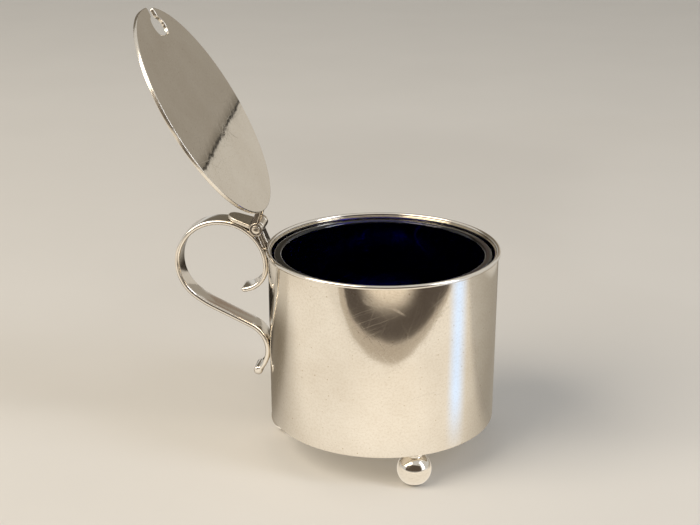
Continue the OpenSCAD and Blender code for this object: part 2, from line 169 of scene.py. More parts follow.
    # Hand-worked sheet is slightly uneven, and the hairlines and pits are scored into it.
    swell = add(tree, "ShaderNodeTexNoise", {
        "Vector": uv, "Scale": 1 / SWELL_SIZE, "Detail": 2.0, "Roughness": 0.55})
    uneven = add(tree, "ShaderNodeBump", {
        "Height": swell.outputs["Fac"], "Distance": SWELL_HEIGHT * wear, "Strength": 1.0})
    score = add(tree, "ShaderNodeMath", {0: lines, 1: pit}, operation="MAXIMUM")
    scored = add(tree, "ShaderNodeBump", {
        "Height": score.outputs["Value"], "Distance": SCORE_DEPTH * wear, "Strength": 1.0,
        "Normal": uneven.outputs["Normal"]}, invert=True)
    tree.links.new(scored.outputs["Normal"], shader.inputs["Normal"])
    shader.inputs["Metallic"].default_value = 1.0
    return material


def surface(name, points, material, uv=None, capped=False):
    """A mesh from a grid of points, path by profile, with a face between each four neighbours. Its UV map
    is the distance along the path and along the profile, in metres. Caps close the profile's two ends."""
    rows, columns = points.shape[:2]
    index = np.arange(rows * columns).reshape(rows, columns)
    quads = np.stack([index[:-1, :-1], index[1:, :-1], index[1:, 1:], index[:-1, 1:]], -1).reshape(-1, 4)
    faces = quads.tolist()
    if capped:
        faces += [index[:-1, 0].tolist(), index[-2::-1, -1].tolist()]
    if uv is None:
        along = np.linalg.norm(np.diff(points, axis=0), axis=2).mean(1)
        across = np.linalg.norm(np.diff(points, axis=1), axis=2).mean(0)
        far, wide = np.r_[0, np.cumsum(along)], np.r_[0, np.cumsum(across)]
        uv = np.stack(np.meshgrid(far, wide, indexing="ij"), -1)
    mesh = bpy.data.meshes.new(name)
    mesh.from_pydata(points.reshape(-1, 3).tolist(), [], faces)
    corners = np.empty(len(mesh.loops), np.int32)
    mesh.loops.foreach_get("vertex_index", corners)
    layer = mesh.uv_layers.new(name="UVMap")
    layer.data.foreach_set("uv", uv.reshape(-1, 2)[corners].astype(np.float32).ravel())
    smooth = np.arange(len(faces)) < len(quads)
    mesh.polygons.foreach_set("use_smooth", smooth)
    # The seam and the poles are merged, and the faces then turned outwards.
    work = bmesh.new()
    work.from_mesh(mesh)
    bmesh.ops.remove_doubles(work, verts=work.verts, dist=MERGE_REACH)
    bmesh.ops.dissolve_degenerate(work, edges=work.edges, dist=SHORTEST_EDGE)
    bmesh.ops.recalc_face_normals(work, faces=work.faces)
    work.to_mesh(mesh)
    work.free()
    mesh.materials.append(material)
    piece = bpy.data.objects.new(name, mesh)
    bpy.context.scene.collection.objects.link(piece)
    return piece


def rounded(corners, radii, closed=True, steps=6):
    """An outline with its corners rounded: each corner gives an arc that touches both its sides, with a
    point a little way along each side so that the flat stays flat. An open outline keeps its end points."""
    corners, radii = np.asarray(corners, float), np.asarray(radii, float)
    before, after = np.roll(corners, 1, 0) - corners, np.roll(corners, -1, 0) - corners
    before, after = (d / np.linalg.norm(d, axis=1, keepdims=True) for d in (before, after))
    half = np.arccos(np.clip((before * after).sum(1), -1, 1)) / 2
    middle = before + after
    middle /= np.linalg.norm(middle, axis=1, keepdims=True)
    centre = corners + middle * (radii / np.sin(half))[:, None]
    turn = (np.pi / 2 - half)[:, None] * np.linspace(-1, 1, steps + 1)
    side = after - before
    side /= np.linalg.norm(side, axis=1, keepdims=True)
    arc = (centre[:, None] - middle[:, None] * (radii[:, None] * np.cos(turn))[..., None]
           + side[:, None] * (radii[:, None] * np.sin(turn))[..., None])
    lead = 0.5 * radii[:, None]
    first, last = arc[:, :1] + (before * lead)[:, None], arc[:, -1:] + (after * lead)[:, None]
    arc = np.concatenate([first, arc, last], 1)
    if closed:
        return np.vstack([arc.reshape(-1, 2), arc[0, :1]])
    return np.vstack([corners[:1], arc[1:-1].reshape(-1, 2), corners[-1:]])


def turned(outline, steps=192):
    """A surface of revolution: an outline of radius and height carried round the Z axis."""
    angle = np.linspace(0, 2 * np.pi, steps + 1)[:, None]
    radius, height = outline[None, :, 0], outline[None, :, 1]
    return np.stack(np.broadcast_arrays(radius * np.cos(angle), radius * np.sin(angle), height), -1)


sheet_silver = silver_finish("polished_sterling_sheet", "#EFE9DE", "#B5A183", roughness=0.07, wear=1.0)
base_top = BASE_Z + BASE_THICKNESS
base_outline = rounded([(0, BASE_Z), (BASE_RADIUS, BASE_Z), (BASE_RADIUS, base_top), (0, base_top)],
                       [0, BASE_EDGE, BASE_EDGE, 0], closed=False)
base_plate = surface("base_disc", turned(base_outline), sheet_silver)
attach(base_plate, "pot")
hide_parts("base_plate")


# Body wall: a strip of sheet silver rolled to a drum and soldered up its side, a hair narrower at its foot.
# Its lower edge is rounded over by wear.
WALL_TOP_Z = 54.4 * MM
WALL_TOP_RADIUS = 30.0 * MM
WALL_FOOT_RADIUS = 29.8 * MM
WALL_THICKNESS = 0.9 * MM
WALL_EDGES = np.array([0.2, 0.35, 0.05, 0.05]) * MM
WALL_STEPS = 256

wall_outline = rounded(
    [(WALL_FOOT_RADIUS - WALL_THICKNESS, WALL_FOOT_Z), (WALL_FOOT_RADIUS, WALL_FOOT_Z),
     (WALL_TOP_RADIUS, WALL_TOP_Z), (WALL_TOP_RADIUS - WALL_THICKNESS, WALL_TOP_Z)],
    WALL_EDGES)
body_wall = surface("drum_wall", turned(wall_outline, WALL_STEPS), sheet_silver)
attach(body_wall, "pot")
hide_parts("body_wall")


# Rim wire: round silver wire filed flat on one side, bent to a ring and soldered on the top of the wall.
# It stiffens the drum's edge, and the closed lid lies on it.
SEAM = 0.02 * MM
RIM_WIRE_RADIUS = 0.55 * MM
RIM_WIRE_RISE = 0.4 * MM
RIM_WIRE_Z = WALL_TOP_Z + RIM_WIRE_RISE
RIM_FLAT_Z = WALL_TOP_Z + SEAM
RIM_WIRE_STEPS = 25

wire_silver = silver_finish("drawn_sterling_wire", "#F2ECE2", "#B5A183", roughness=0.10, wear=0.6)
flat_angle = math.asin((RIM_FLAT_Z - RIM_WIRE_Z) / RIM_WIRE_RADIUS)
round_angle = np.linspace(flat_angle, math.pi - flat_angle, RIM_WIRE_STEPS)
wire_outline = np.stack([WALL_TOP_RADIUS + RIM_WIRE_RADIUS * np.cos(round_angle),
                         RIM_WIRE_Z + RIM_WIRE_RADIUS * np.sin(round_angle)], -1)
wire_outline = np.vstack([wire_outline, wire_outline[:1]])
rim_wire = surface("rim_ring", turned(wire_outline, WALL_STEPS), wire_silver)
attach(rim_wire, "pot")
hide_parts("rim_wire")


# Ball feet: three cast silver balls, each with a short peg soldered to the base plate.
# A small flat is worn under each where it stands.
FOOT_RADIUS = 4.4 * MM
FOOT_CENTRE_Z = 4.25 * MM
FOOT_PEG_RADIUS = 2.1 * MM
FOOT_NECK = 0.1 * MM
FOOT_FLAT_RING = 0.95
FOOT_STEPS, BALL_STEPS = 96, 40
FOOT_RING_RADIUS = 26.6 * MM
FOOT_ANGLES = {"foot_handle_side": 174, "foot_front": -66, "foot_back": 54}

cast_silver = silver_finish("polished_cast_sterling", "#F0EADF", "#AE9A7C", roughness=0.08, wear=0.7)
low = math.asin(-FOOT_CENTRE_Z / FOOT_RADIUS)
high = math.acos(FOOT_PEG_RADIUS / FOOT_RADIUS)
ball_angle = np.linspace(low, high, BALL_STEPS)
ball = np.stack([FOOT_RADIUS * np.cos(ball_angle), FOOT_CENTRE_Z + FOOT_RADIUS * np.sin(ball_angle)], -1)
peg_top = BASE_Z - SEAM
neck_z = ball[-1, 1] + FOOT_NECK
foot_outline = np.vstack([
    [(0, 0), (FOOT_FLAT_RING * ball[0, 0], 0)], ball,
    [(FOOT_PEG_RADIUS, neck_z), (FOOT_PEG_RADIUS, peg_top), (0, peg_top)]])
for node_name, degrees in FOOT_ANGLES.items():
    angle = math.radians(degrees)
    place = FOOT_RING_RADIUS * np.array([math.cos(angle), math.sin(angle), 0])
    foot = surface(node_name + "_ball", turned(foot_outline, FOOT_STEPS) + place, cast_silver)
    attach(foot, "pot")
    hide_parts(node_name)


# Handle: one strap of silver with rounded edges, bent to an S and soldered to the wall at two places.
# Its upper end curls inwards below the rim, and its lower end is rolled to a drop.
STRAP_HALF_WIDTH = 3.2 * MM
STRAP_HALF_THICKNESS = 0.65 * MM
STRAP_SEAT = (29.9774 * MM, 49.2844 * MM)
STRAP_OFFSET = 0.67 * MM
CURL_RADIUS, CURL_TURN = 6.6 * MM, 85
RISE_RADIUS = 11.8 * MM
CREST_LENGTH = 0.4 * MM
OUTER_RADIUS, OUTER_TURN = 11.5 * MM, 143
SWEEP_RADIUS, SWEEP_SLOPE = 29.0 * MM, 26
TAIL_RADIUS, TAIL_TURN = 7.8 * MM, 43
ROLL_RADIUS = 1.2 * MM
ROLL_NARROWING = 0.8 * MM
STRAP_STEP = 0.5 * MM
STRAP_EDGE_STEPS, CURL_TIP_STEPS, ROLL_STEPS = 13, 8, 25
WALL_LEAN = math.atan2(WALL_FOOT_RADIUS - WALL_TOP_RADIUS, WALL_TOP_Z - WALL_FOOT_Z)


def strap_path(start, parts, step):
    """Places along a strap of arcs and straights, as across, along and heading. Each part is its length
    and the angle that it turns; the heading grows evenly over it, and the place is the heading's integral."""
    headings, lengths = [np.array([start[2]])], []
    for length, turn in parts:
        count = max(2, math.ceil(length / step))
        headings.append(headings[-1][-1] + turn * np.arange(1, count + 1) / count)
        # The chord of a short arc lies along its middle heading.
        lengths.append(np.full(count, length / count * np.sinc(turn / count / 2 / np.pi)))
    heading, length = np.concatenate(headings), np.concatenate(lengths)
    middle = (heading[:-1] + heading[1:]) / 2
    across = start[0] + np.r_[0, np.cumsum(length * np.cos(middle))]
    along = start[1] + np.r_[0, np.cumsum(length * np.sin(middle))]
    return across, along, heading


def strap_bends():
    """The strap's parts from the tip of its curl to the end of its tail, as length and angle turned. The
    straight before the tail is as long as it has to be for the tail to meet the wall again."""
    curl, outer, slope, tail = (math.radians(a) for a in (CURL_TURN, OUTER_TURN, SWEEP_SLOPE, TAIL_TURN))
    sweep, back = math.pi - slope - outer, math.pi / 2 - slope
    reach = (RISE_RADIUS + CREST_LENGTH + OUTER_RADIUS * math.sin(outer)
             + SWEEP_RADIUS * (math.sin(outer + sweep) - math.sin(outer))
             - TAIL_RADIUS * (1 - math.sin(slope)))
    link = reach / math.cos(slope)
    return [(CURL_RADIUS * curl, -curl), (RISE_RADIUS * math.pi / 2, -math.pi / 2), (CREST_LENGTH, 0.0),
            (OUTER_RADIUS * outer, -outer), (SWEEP_RADIUS * sweep, -sweep), (link, 0.0),
            (TAIL_RADIUS * (back + tail), back + tail)]


def strap_ends(across, along, heading):
    """Half thickness and narrowing of the strap at each place, with its curled end rounded off by a quarter
    circle and its lower end carried on round a roll, whose half thickness follows a circle."""
    cap = np.linspace(-np.pi / 2, 0, CURL_TIP_STEPS)[:-1]
    first = STRAP_HALF_THICKNESS * np.sin(cap)
    begin = np.pi - math.asin(STRAP_HALF_THICKNESS / ROLL_RADIUS)
    roll = np.linspace(begin, 0, ROLL_STEPS)[1:]
    last = ROLL_RADIUS * (np.cos(roll) - math.cos(begin))
    tip_way, tail_way = heading[0], heading[-1]
    across = np.r_[across[0] + first * math.cos(tip_way), across, across[-1] + last * math.cos(tail_way)]
    along = np.r_[along[0] + first * math.sin(tip_way), along, along[-1] + last * math.sin(tail_way)]
    half = np.r_[STRAP_HALF_THICKNESS * np.cos(cap), np.full(len(heading), STRAP_HALF_THICKNESS),
                 ROLL_RADIUS * np.sin(roll)]
    narrow = np.r_[STRAP_HALF_THICKNESS * (1 - np.cos(cap)), np.zeros(len(heading)),
                   ROLL_NARROWING * np.clip(1 - np.sin(roll), 0, 1) * (roll < np.pi / 2)]
    heading = np.r_[np.full(len(cap), tip_way), heading, np.full(len(roll), tail_way)]
    return across, along, heading, half, narrow


def strap_surface(across, along, heading, half, narrow):
    """The strap's section, two flat faces joined by rounded edges, carried along its path on the wall."""
    edge = np.linspace(-np.pi / 2, np.pi / 2, STRAP_EDGE_STEPS)
    thick = np.r_[np.sin(edge), -np.sin(edge), -1.0]
    wide = np.r_[np.cos(edge), -np.cos(edge), np.cos(edge[:1])]
    flat = np.r_[np.ones_like(edge), -np.ones_like(edge), 1.0] * (STRAP_HALF_WIDTH - STRAP_HALF_THICKNESS)
    lift = half[:, None] * thick
    u = across[:, None] - lift * np.sin(heading)[:, None]
    w = along[:, None] + lift * np.cos(heading)[:, None]
    edge_reach = np.minimum(half, STRAP_HALF_THICKNESS)
    side = flat * (1 - narrow / STRAP_HALF_WIDTH)[:, None] + wide * edge_reach[:, None]
    lean_cos, lean_sin = math.cos(WALL_LEAN), math.sin(WALL_LEAN)
    x = STRAP_SEAT[0] + u * lean_cos - w * lean_sin
    z = STRAP_SEAT[1] + u * lean_sin + w * lean_cos
    return np.stack([-x, -side, z], -1)


curl = math.radians(CURL_TURN)
curl_tip = (STRAP_OFFSET + CURL_RADIUS * (1 - math.cos(curl)), -CURL_RADIUS * math.sin(curl),
            math.pi / 2 + curl)
strap_points = strap_surface(*strap_ends(*strap_path(curl_tip, strap_bends(), STRAP_STEP)))
handle = surface("strap_handle", strap_points, wire_silver)
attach(handle, "pot")
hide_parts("handle")


# Hinge plate: the fixed leaf, a slip of sheet soldered to the rim wire, that rises outward to the knuckles.
# A tongue at its upper edge is soldered to the centre knuckle; the lid's knuckles turn clear of it.
HINGE_X, HINGE_Z = -32.75 * MM, 59.85 * MM
KNUCKLE_RADIUS = 1.75 * MM
PLATE_HALF_WIDTH = 3.42 * MM
PLATE_CLEAR = 0.12 * MM
PLATE_THICKNESS = 0.8 * MM
LEAF_EDGE, LEAF_EDGE_STEPS = 0.12 * MM, 5
TONGUE_HALF_WIDTH = 2.1 * MM
TONGUE_LAP, TONGUE_REACH = 0.5 * MM, 1.4 * MM
PLATE_FOOT = (-30.62 * MM, 54.55 * MM)


def leaf(name, outline, half_width, offset, edge, material):
    """A slip of sheet seen from its end: an outline of x and z carried along Y, with its two ends bevelled
    round by a quarter circle that draws the outline in towards its middle line."""
    middle = outline[:-1].mean(0)
    turn = np.linspace(0, np.pi / 2, LEAF_EDGE_STEPS)
    inset, reach = edge * (1 - np.sin(turn)), half_width - edge * np.cos(turn)
    reach, inset = np.r_[-reach, reach[::-1]], np.r_[inset, inset[::-1]]
    tangent = np.roll(outline[:-1], -1, 0) - np.roll(outline[:-1], 1, 0)
    tangent /= np.linalg.norm(tangent, axis=1, keepdims=True)
    normal = np.stack([tangent[:, 1], -tangent[:, 0]], -1)
    normal *= np.sign(((outline[:-1] - middle) * normal).sum())
    normal = np.vstack([normal, normal[:1]])
    drawn = outline[:, None] - normal[:, None] * inset[None, :, None]
    points = np.stack([drawn[..., 0], np.broadcast_to(offset + reach, drawn.shape[:2]), drawn[..., 1]], -1)
    return surface(name, points, material, capped=True)


hinge_silver = silver_finish("worn_hinge_sterling", "#E9E1D3", "#6E5C43", roughness=0.13, wear=0.9,
                             crevice=0.75)
slope = np.array([HINGE_X - PLATE_FOOT[0], HINGE_Z - PLATE_FOOT[1]])
slope /= np.linalg.norm(slope)
square = np.array([slope[1], -slope[0]]) * PLATE_THICKNESS / 2
hinge_place, foot_place = np.array([HINGE_X, HINGE_Z]), np.array(PLATE_FOOT)
top_place = hinge_place - (KNUCKLE_RADIUS + PLATE_CLEAR) * slope
tongue_foot, tongue_top = top_place - TONGUE_LAP * slope, hinge_place - TONGUE_REACH * slope
for name, start, end, half_width in (("fixed_leaf", foot_place, top_place, PLATE_HALF_WIDTH),
                                     ("fixed_leaf_tongue", tongue_foot, tongue_top, TONGUE_HALF_WIDTH)):
    slip = rounded([start + square, end + square, end - square, start - square], [LEAF_EDGE] * 4)
    hinge_plate = leaf(name, slip, half_width, 0.0, LEAF_EDGE, hinge_silver)
    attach(hinge_plate, "pot")
    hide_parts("hinge_plate")


# Knuckles and pin: three lengths of thick silver tube in line, the middle one soldered to the fixed leaf
# and the outer two to the lid's bracket, turning on a pin whose ends are slightly domed.
CENTRE_KNUCKLE_HALF = 2.2 * MM
LID_KNUCKLE_START, LID_KNUCKLE_END = 2.32 * MM, 4.22 * MM
KNUCKLE_EDGE, BORE_EDGE = 0.16 * MM, 0.06 * MM
BORE_GAP = 0.03 * MM
PIN_RADIUS = 1.05 * MM
PIN_PROUD, PIN_DOME = 0.15 * MM, 0.15 * MM
PIN_END = LID_KNUCKLE_END + PIN_PROUD
HINGE_STEPS, DOME_STEPS = 64, 9


def on_hinge(points):
    """Carries what was turned round the Z axis to the hinge axis, which lies along Y."""
    return np.stack([HINGE_X + points[..., 0], points[..., 2], HINGE_Z + points[..., 1]], -1)


def tube(name, start, end, material):
    """A length of knuckle tube: a rounded rectangle of radius and length turned round the hinge axis."""
    bore = PIN_RADIUS + BORE_GAP
    outline = rounded([(bore, start), (KNUCKLE_RADIUS, start), (KNUCKLE_RADIUS, end), (bore, end)],
                      [BORE_EDGE, KNUCKLE_EDGE, KNUCKLE_EDGE, BORE_EDGE])
    return surface(name, on_hinge(turned(outline, HINGE_STEPS)), material)


centre_knuckle = tube("fixed_knuckle", -CENTRE_KNUCKLE_HALF, CENTRE_KNUCKLE_HALF, hinge_silver)
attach(centre_knuckle, "pot")
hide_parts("centre_knuckle")

dome = np.linspace(0, np.pi / 2, DOME_STEPS)
dome_r, dome_y = PIN_RADIUS * np.sin(dome), PIN_END - PIN_DOME * (1 - np.cos(dome))
pin_outline = np.vstack([np.stack([dome_r, -dome_y], -1), np.stack([dome_r, dome_y], -1)[::-1]])
hinge_pin = surface("pivot_pin", on_hinge(turned(pin_outline, HINGE_STEPS)), hinge_silver)
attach(hinge_pin, "pot")
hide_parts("hinge_pin")

for node_name, start, end in (("lid_knuckle_front", -LID_KNUCKLE_END, -LID_KNUCKLE_START),
                              ("lid_knuckle_back", LID_KNUCKLE_START, LID_KNUCKLE_END)):
    lid_knuckle = tube(node_name + "_tube", start, end, hinge_silver)
    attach(lid_knuckle, "lid")
    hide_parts(node_name)


# Lid: a flat disc of heavy sheet silver that lies in the rim, with a keyhole notch for the spoon's stem.
# It stands open against the stop of its thumbpiece.
LID_OPEN = 121
LID_RADIUS = 29.6 * MM
LID_THICKNESS = 1.0 * MM
LID_EDGE, PLATE_EDGE_STEPS = 0.2 * MM, 6
LID_UNDER_Z = 55.129 * MM
SPOON_HOLE_RADIUS = 2.6 * MM
SPOON_HOLE_END = 2.1 * MM
SPOON_SLOT_HALF = 2.1 * MM
SPOON_SLOT_LENGTH = 2.8 * MM
SPOON_HOLE_X = LID_RADIUS - SPOON_SLOT_LENGTH - SPOON_HOLE_RADIUS
SPOON_TURN = 9
LID_SPACING, LID_SOFTENING = 0.2 * MM, 0.6 * MM
LID_STEPS, SPOON_HOLE_STEPS, SPOON_SLOT_STEPS = 256, 96, 8


def swung_open(points):
    """Turns what lies on the closed lid about the hinge axis, up and over towards the handle."""
    c, s = math.cos(math.radians(LID_OPEN)), math.sin(math.radians(LID_OPEN))
    x, z = points[..., 0] - HINGE_X, points[..., 2] - HINGE_Z
    return np.stack([HINGE_X + x * c - z * s, points[..., 1], HINGE_Z + x * s + z * c], -1)


def softened(outline, spacing, reach):
    """A closed outline sampled evenly, with its corners rounded: each place is the mean of its neighbours
    within a reach along the outline."""
    along = np.r_[0, np.cumsum(np.linalg.norm(np.diff(outline, axis=0), axis=1))]
    even = np.linspace(0, along[-1], round(along[-1] / spacing), endpoint=False)
    places = np.stack([np.interp(even, along, outline[:, 0]), np.interp(even, along, outline[:, 1])], -1)
    near = np.arange(-round(reach / spacing), round(reach / spacing) + 1)
    smooth = places[(np.arange(len(places))[:, None] + near) % len(places)].mean(1)
    return np.vstack([smooth, smooth[:1]])


def plate(outline, thickness, edge):
    """A flat plate: its outline of x and y carried over a rounded edge, from the lower face to the upper.
    The UV map is the plan of the plate, in metres."""
    tangent = np.roll(outline[:-1], -1, 0) - np.roll(outline[:-1], 1, 0)
    tangent /= np.linalg.norm(tangent, axis=1, keepdims=True)
    outward = np.stack([tangent[:, 1], -tangent[:, 0]], -1)
    outward = np.vstack([outward, outward[:1]])
    turn = np.linspace(0, np.pi / 2, PLATE_EDGE_STEPS)
    inset, height = edge * (1 - np.sin(turn)), edge * (1 - np.cos(turn))
    # A ring just inside the rounded edge keeps the flat face flat.
    ring = 1.2 * edge
    inset = np.r_[ring, inset, inset[::-1], ring]
    height = np.r_[0, height, thickness - height[::-1], thickness]
    plan = outline[:, None] - outward[:, None] * inset[None, :, None]
    points = np.concatenate([plan, np.broadcast_to(height[None, :, None], (*plan.shape[:2], 1))], -1)
    return points, plan


def mark_edge(piece):
    """Marks a plate's edge as filed: each face of four corners, since its two flat faces have more."""
    corners = np.empty(len(piece.data.polygons), np.int32)
    piece.data.polygons.foreach_get("loop_total", corners)
    edge = piece.data.attributes.new("filed_edge", "FLOAT", "FACE")
    edge.data.foreach_set("value", (corners == 4).astype(np.float32))


lid_silver = silver_finish("burnished_sterling_lid", "#EFE9DE", "#B5A183", roughness=0.028, wear=1.0)
mouth = math.asin(SPOON_SLOT_HALF / LID_RADIUS)
disc_angle = np.linspace(mouth, 2 * np.pi - mouth, LID_STEPS)
hole_angle = np.linspace(0, np.pi, SPOON_HOLE_STEPS)
slot_x = np.linspace(LID_RADIUS * math.cos(mouth), SPOON_HOLE_X + SPOON_HOLE_RADIUS, SPOON_SLOT_STEPS)[1:-1]
hole_x, hole_y = SPOON_HOLE_RADIUS * np.cos(hole_angle), SPOON_HOLE_RADIUS * np.sin(hole_angle)
lid_outline = np.vstack([
    LID_RADIUS * np.stack([np.cos(disc_angle), np.sin(disc_angle)], -1),
    np.stack([slot_x, np.full_like(slot_x, -SPOON_SLOT_HALF)], -1),
    np.stack([SPOON_HOLE_X + hole_x, -SPOON_HOLE_END - hole_y], -1),
    np.stack([SPOON_HOLE_X + hole_x, SPOON_HOLE_END + hole_y], -1)[::-1],
    np.stack([slot_x[::-1], np.full_like(slot_x, SPOON_SLOT_HALF)], -1)])
lid_outline = np.vstack([lid_outline, lid_outline[:1]])
spoon_turn = math.radians(SPOON_TURN)
lid_outline = lid_outline @ np.array([[math.cos(spoon_turn), math.sin(spoon_turn)],
                                      [-math.sin(spoon_turn), math.cos(spoon_turn)]])
lid_points, lid_plan = plate(softened(lid_outline, LID_SPACING, LID_SOFTENING), LID_THICKNESS, LID_EDGE)
lid = surface("lid_disc", swung_open(lid_points + (0, 0, LID_UNDER_Z)), lid_silver, lid_plan, capped=True)
mark_edge(lid)
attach(lid, "lid")
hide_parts("lid")


# Lid bracket: the lid's leaf of the hinge. A tapered foot is soldered on the lid's upper face, and two legs
# pass the centre knuckle on either side to the lid's own knuckles.
LID_TOP_Z = LID_UNDER_Z + LID_THICKNESS
BRACKET_FOOT_X = -LID_RADIUS + 4.0 * MM
BRACKET_KNEE_X = -LID_RADIUS + 1.1 * MM
BRACKET_HEEL_X = -LID_RADIUS + 0.3 * MM
BRACKET_GAP = 0.01 * MM
TOE_THICKNESS, KNEE_THICKNESS = 0.6 * MM, 1.0 * MM
LEG_HALF = (LID_KNUCKLE_END - LID_KNUCKLE_START) / 2
LEG_Y = (LID_KNUCKLE_END + LID_KNUCKLE_START) / 2
LEG_TOP = (HINGE_X + 1.58 * MM, HINGE_Z + 0.5 * MM)
LEG_LOW = (HINGE_X + 1.24 * MM, HINGE_Z - 1.12 * MM)
LEG_ROUNDING = np.array([0.1, 0.1, 0.25, 0.35, 0.2, 0.2]) * MM
WEB_HALF = LID_KNUCKLE_START + 0.3 * MM
WEB_HEEL_X = BRACKET_HEEL_X + 0.4 * MM
WEB_KNEE_X = BRACKET_KNEE_X + 0.1 * MM
WEB_THICKNESS = 0.98 * MM
WEB_EDGE = 0.1 * MM
WEB_ROUNDING = np.array([0.15, 0.1, 0.25, 0.3]) * MM

foot_low = LID_TOP_Z + BRACKET_GAP
toe = [(BRACKET_FOOT_X, foot_low), (BRACKET_FOOT_X, foot_low + TOE_THICKNESS)]
leg_outline = rounded(
    [(BRACKET_HEEL_X, foot_low), *toe, (BRACKET_KNEE_X, foot_low + KNEE_THICKNESS), LEG_TOP, LEG_LOW],
    LEG_ROUNDING)
web_outline = rounded(
    [(WEB_HEEL_X, foot_low), *toe, (WEB_KNEE_X, foot_low + WEB_THICKNESS)], WEB_ROUNDING)
bracket = [leaf("bracket_leg_front", leg_outline, LEG_HALF, -LEG_Y, LEAF_EDGE, hinge_silver),
           leaf("bracket_leg_back", leg_outline, LEG_HALF, LEG_Y, LEAF_EDGE, hinge_silver),
           leaf("bracket_web", web_outline, WEB_HALF, 0.0, WEB_EDGE, hinge_silver)]
for part in bracket:
    flat = np.empty(len(part.data.vertices) * 3)
    part.data.vertices.foreach_get("co", flat)
    part.data.vertices.foreach_set("co", swung_open(flat.reshape(-1, 3)).ravel())
    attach(part, "lid")
    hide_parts("lid_bracket")


# Thumbpiece: a round-ended plate soldered to the lid's knuckles. It lifts the lid under the thumb, and lies
# on the top of the handle when the lid stands open.
THUMB_ANGLE = 17.54
THUMB_LENGTH = 8.4 * MM
THUMB_TIP_RADIUS = 3.2 * MM
THUMB_THICKNESS = 1.0 * MM
THUMB_ROOT = 1.6 * MM
THUMB_CLEAR = 1.9 * MM
THUMB_EDGE = 0.25 * MM
THUMB_SPACING, THUMB_SOFTENING = 0.15 * MM, 0.45 * MM
THUMB_TIP_STEPS = 48

tip_x = THUMB_LENGTH - THUMB_TIP_RADIUS
taper = (math.acos(THUMB_TIP_RADIUS / math.hypot(LID_KNUCKLE_END, tip_x))
         - math.atan2(tip_x, LID_KNUCKLE_END))
tip_angle = np.linspace(taper - np.pi / 2, np.pi / 2 - taper, THUMB_TIP_STEPS)
tip = np.stack([tip_x + THUMB_TIP_RADIUS * np.cos(tip_angle), THUMB_TIP_RADIUS * np.sin(tip_angle)], -1)
side = (LID_KNUCKLE_END - abs(tip[0, 1])) / tip[0, 0]
root_y = LID_KNUCKLE_END - side * THUMB_ROOT
thumb_outline = np.vstack([
    [(THUMB_ROOT, -root_y)], tip, [(THUMB_ROOT, root_y), (THUMB_ROOT, LID_KNUCKLE_START),
                                   (THUMB_CLEAR, LID_KNUCKLE_START), (THUMB_CLEAR, -LID_KNUCKLE_START),
                                   (THUMB_ROOT, -LID_KNUCKLE_START), (THUMB_ROOT, -root_y)]])
thumb_points, thumb_plan = plate(softened(thumb_outline, THUMB_SPACING, THUMB_SOFTENING),
                                 THUMB_THICKNESS, THUMB_EDGE)
rise_c, rise_s = math.cos(math.radians(THUMB_ANGLE)), math.sin(math.radians(THUMB_ANGLE))
out, up = thumb_points[..., 0], thumb_points[..., 2] - THUMB_THICKNESS / 2
thumb_points = np.stack([HINGE_X - out * rise_c + up * rise_s, -thumb_points[..., 1],
                         HINGE_Z + out * rise_s + up * rise_c], -1)
thumbpiece = surface("thumb_plate", thumb_points, hinge_silver, thumb_plan, capped=True)
mark_edge(thumbpiece)
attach(thumbpiece, "lid")
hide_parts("thumbpiece")


# Glass liner: a cup of moulded cobalt blue glass with a fire-polished rim. It stands loose on the base
# plate, keeps the mustard off the silver, and lifts out to be washed.
LINER_RADIUS = 28.5 * MM
LINER_BORE = 26.3 * MM
LINER_Z = 10.8 * MM
LINER_TOP_Z = 54.05 * MM
LINER_BASE = 3.0 * MM
LINER_FLOOR_Z = LINER_Z + LINER_BASE
LINER_ROUNDING = np.array([0, 2.5, 0.7, 0.7, 4.0, 0]) * MM
GLASS_WAVE, GLASS_WAVE_HEIGHT = 12 * MM, 0.03 * MM
GLASS_PATCH = 20 * MM

cobalt_glass = bpy.data.materials.new("moulded_cobalt_glass")
cobalt_glass.use_nodes = True
glass_tree = cobalt_glass.node_tree
glass_shader = glass_tree.nodes["Principled BSDF"]
# Cobalt glass this thick looks almost black, with blue and violet where light passes its rim.
glass_shader.inputs["Transmission Weight"].default_value = 1.0
glass_shader.inputs["IOR"].default_value = 1.52
glass_uv = add(glass_tree, "ShaderNodeUVMap").outputs["UV"]
# Moulded glass has slow waves, and its colour and polish are a little uneven from patch to patch.
wave = add(glass_tree, "ShaderNodeTexNoise", {"Vector": glass_uv, "Scale": 1 / GLASS_WAVE, "Detail": 1.0})
wavy = add(glass_tree, "ShaderNodeBump", {
    "Height": wave.outputs["Fac"], "Distance": GLASS_WAVE_HEIGHT, "Strength": 1.0})
glass_tree.links.new(wavy.outputs["Normal"], glass_shader.inputs["Normal"])
depth = add(glass_tree, "ShaderNodeTexNoise", {"Vector": glass_uv, "Scale": 1 / GLASS_PATCH, "Detail": 2.0})
blue = add(glass_tree, "ShaderNodeMix", {
    0: depth.outputs["Fac"], 6: linear("#5148D8"), 7: linear("#6A60F0")}, data_type="RGBA")
glass_tree.links.new(blue.outputs[2], glass_shader.inputs["Base Color"])
smear = add(glass_tree, "ShaderNodeMapRange", {
    "Value": depth.outputs["Fac"], "To Min": 0.02, "To Max": 0.07})
glass_tree.links.new(smear.outputs["Result"], glass_shader.inputs["Roughness"])

liner_outline = rounded(
    [(0, LINER_Z), (LINER_RADIUS, LINER_Z), (LINER_RADIUS, LINER_TOP_Z), (LINER_BORE, LINER_TOP_Z),
     (LINER_BORE, LINER_FLOOR_Z), (0, LINER_FLOOR_Z)],
    LINER_ROUNDING, closed=False, steps=10)
glass_liner = surface("glass_cup", turned(liner_outline), cobalt_glass)
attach(glass_liner, "liner")
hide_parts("glass_liner")


